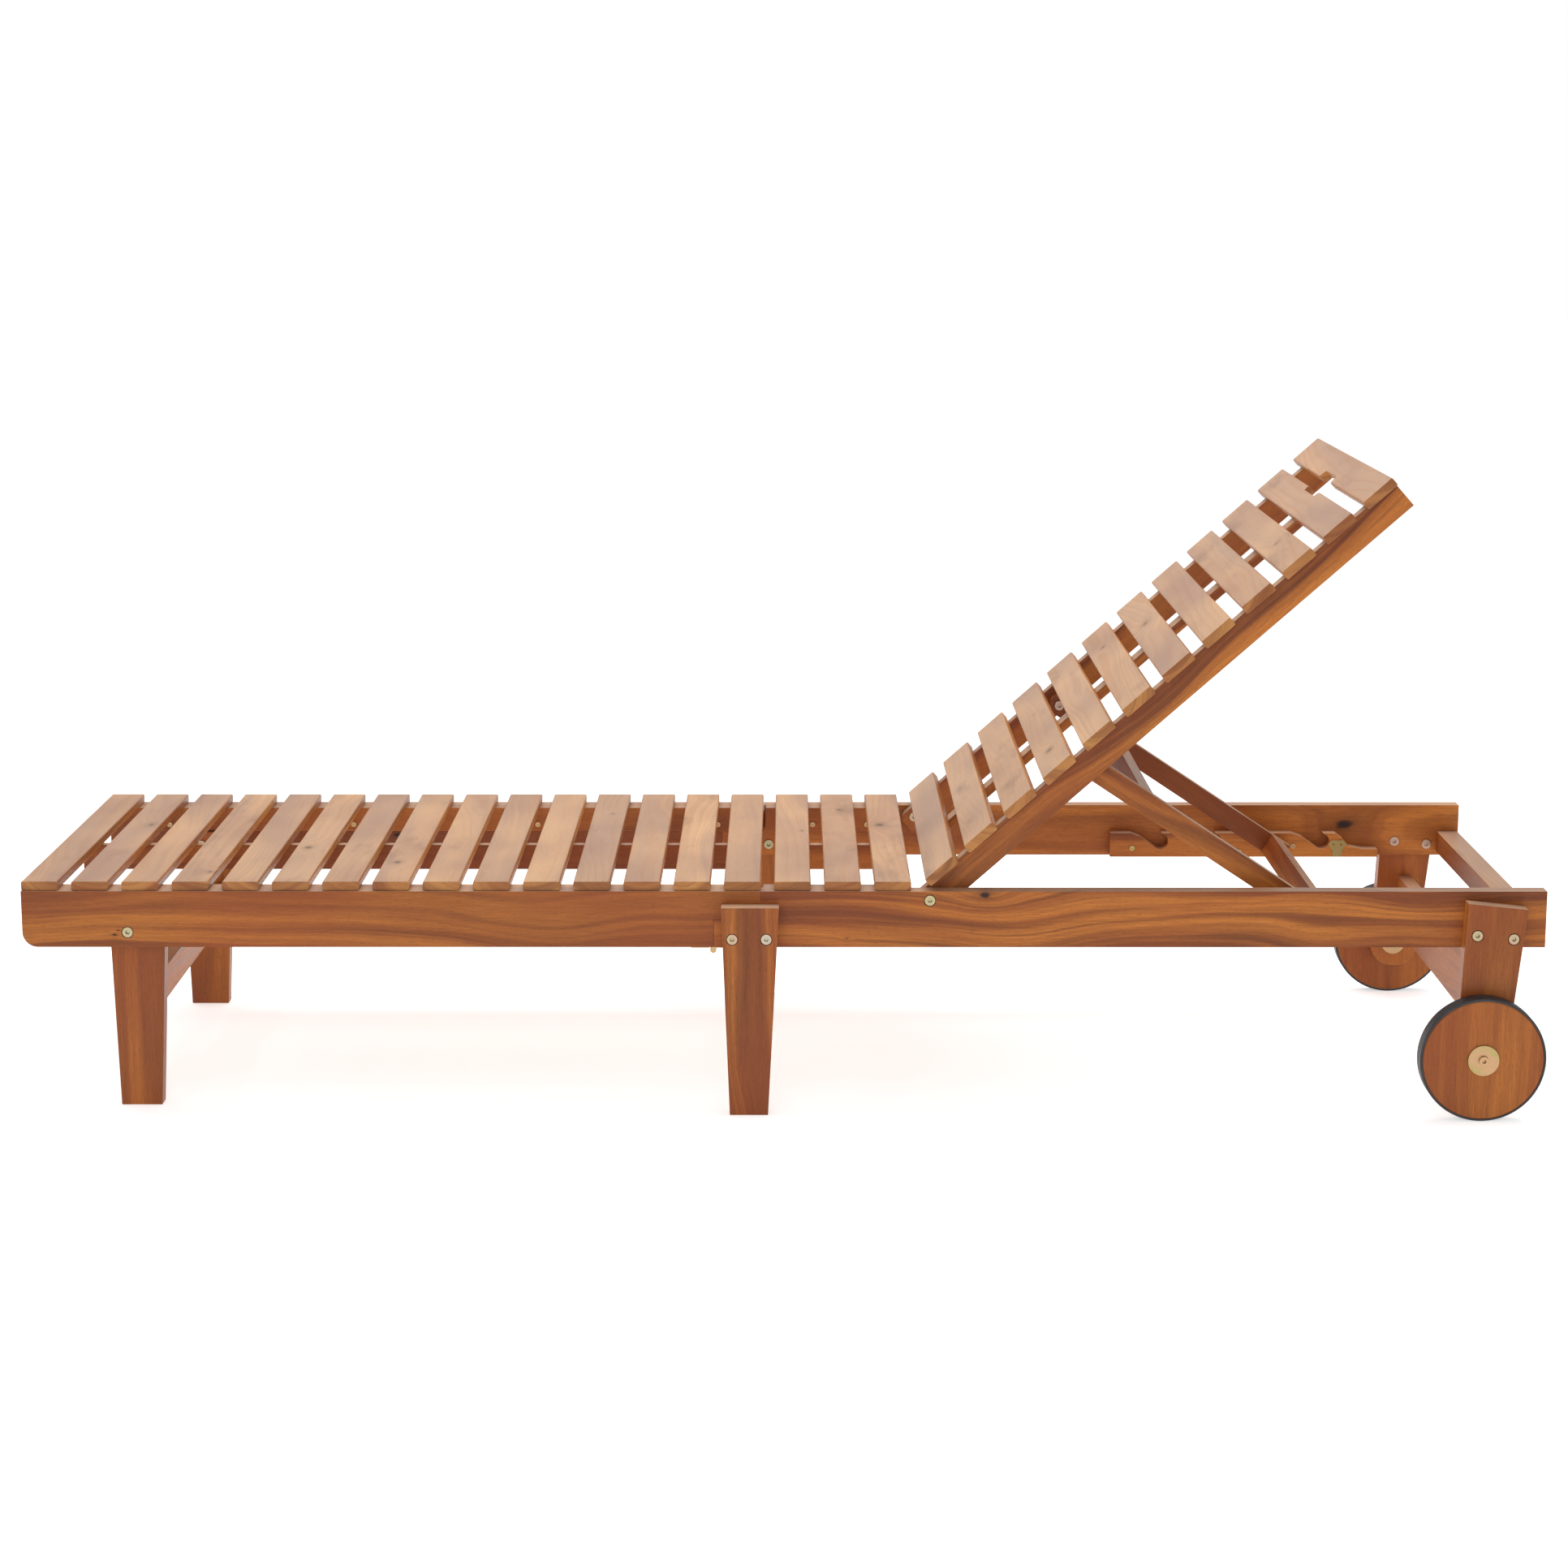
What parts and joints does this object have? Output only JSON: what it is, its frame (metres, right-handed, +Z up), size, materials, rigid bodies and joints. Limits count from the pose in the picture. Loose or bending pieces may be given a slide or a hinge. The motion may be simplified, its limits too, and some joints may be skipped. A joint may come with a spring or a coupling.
{
  "type": "reclining sun lounger",
  "caption": "Slatted hardwood sun lounger with a reclining backrest on a notched prop, a fold-under foot end, and wheels at the head end.",
  "frame": {"origin": "on the ground, in the middle of the lounger's length and width, in its rest pose", "axes": "+X towards the head end, +Y to the right of a person lying on it, +Z up"},
  "size_m": [2, 0.7148, 0.8379],
  "materials": {
    "slat_wood": "oiled hardwood, pale and satin on the walked faces",
    "frame_wood": "oiled hardwood, warm reddish brown, satin",
    "bolt_steel": "plated steel",
    "zinc_steel": "yellow zinc plated steel",
    "tyre_rubber": "matt black"
  },
  "bodies": {
    "head_frame": {"head_rail_left": "frame_wood", "head_rail_right": "frame_wood", "middle_leg_left": "frame_wood", "middle_leg_right": "frame_wood", "wheel_leg_left": "frame_wood", "wheel_leg_right": "frame_wood", "rack_left": "frame_wood", "rack_right": "frame_wood", "head_battens": "frame_wood", "head_centre_beam": "frame_wood", "wheel_leg_stretcher": "frame_wood", "head_cross_rail": "frame_wood", "head_slat_16": "slat_wood", "head_slat_17": "slat_wood", "head_slat_18": "slat_wood", "head_frame_bolts": "bolt_steel", "head_frame_screws": "zinc_steel", "rack_keepers": "zinc_steel", "axle_bolts": "bolt_steel", "fold_hinge_head_leaves": "zinc_steel"},
    "foot_frame": {"foot_rail_left": "frame_wood", "foot_rail_right": "frame_wood", "front_leg_left": "frame_wood", "front_leg_right": "frame_wood", "foot_slat_01": "slat_wood", "foot_slat_02": "slat_wood", "foot_slat_03": "slat_wood", "foot_slat_04": "slat_wood", "foot_slat_05": "slat_wood", "foot_slat_06": "slat_wood", "foot_slat_07": "slat_wood", "foot_slat_08": "slat_wood", "foot_slat_09": "slat_wood", "foot_slat_10": "slat_wood", "foot_slat_11": "slat_wood", "foot_slat_12": "slat_wood", "foot_slat_13": "slat_wood", "foot_slat_14": "slat_wood", "foot_slat_15": "slat_wood", "foot_battens": "frame_wood", "foot_centre_beam": "frame_wood", "front_leg_stretcher": "frame_wood", "front_leg_bolts": "bolt_steel", "foot_batten_screws": "zinc_steel", "fold_hinge_foot_leaves": "zinc_steel"},
    "backrest": {"backrest_rail_left": "frame_wood", "backrest_rail_right": "frame_wood", "backrest_slats": "slat_wood", "hand_hole_slat_lower": "slat_wood", "hand_hole_slat_upper": "slat_wood", "backrest_centre_lath": "frame_wood", "prop_pivot_bolts": "bolt_steel"},
    "prop": {"prop_arm_left": "frame_wood", "prop_arm_right": "frame_wood", "prop_lower_bar": "frame_wood", "prop_upper_bar": "frame_wood"},
    "wheel_left": {"wheel_left": "frame_wood", "tyre_left": "tyre_rubber"},
    "wheel_right": {"wheel_right": "frame_wood", "tyre_right": "tyre_rubber"}
  },
  "joints": [
    {"name": "backrest_recline", "type": "hinge", "parent": "head_frame", "child": "backrest", "pos_m": [0.1916, 0, 0.2845], "axis": [0, -1, 0], "range_deg": [-41.6, 25.7]},
    {"name": "prop_swing", "type": "hinge", "parent": "backrest", "child": "prop", "pos_m": [0.4014, 0, 0.45472], "axis": [0, -1, 0], "range_deg": [-43.8, 70.9]},
    {"name": "foot_fold", "type": "hinge", "parent": "head_frame", "child": "foot_frame", "pos_m": [-0.0928, 0, 0.2177], "axis": [0, -1, 0], "range_deg": [0, 160]},
    {"name": "wheel_left_spin", "type": "hinge", "parent": "head_frame", "child": "wheel_left", "pos_m": [0.914, -0.3395, 0.0825], "axis": [0, 1, 0], "continuous": true},
    {"name": "wheel_right_spin", "type": "hinge", "parent": "head_frame", "child": "wheel_right", "pos_m": [0.914, 0.3395, 0.0825], "axis": [0, 1, 0], "continuous": true}
  ],
  "couplings": [
    {"joint": "prop_swing", "follows": "backrest_recline", "ratio": -1.7015}
  ]
}
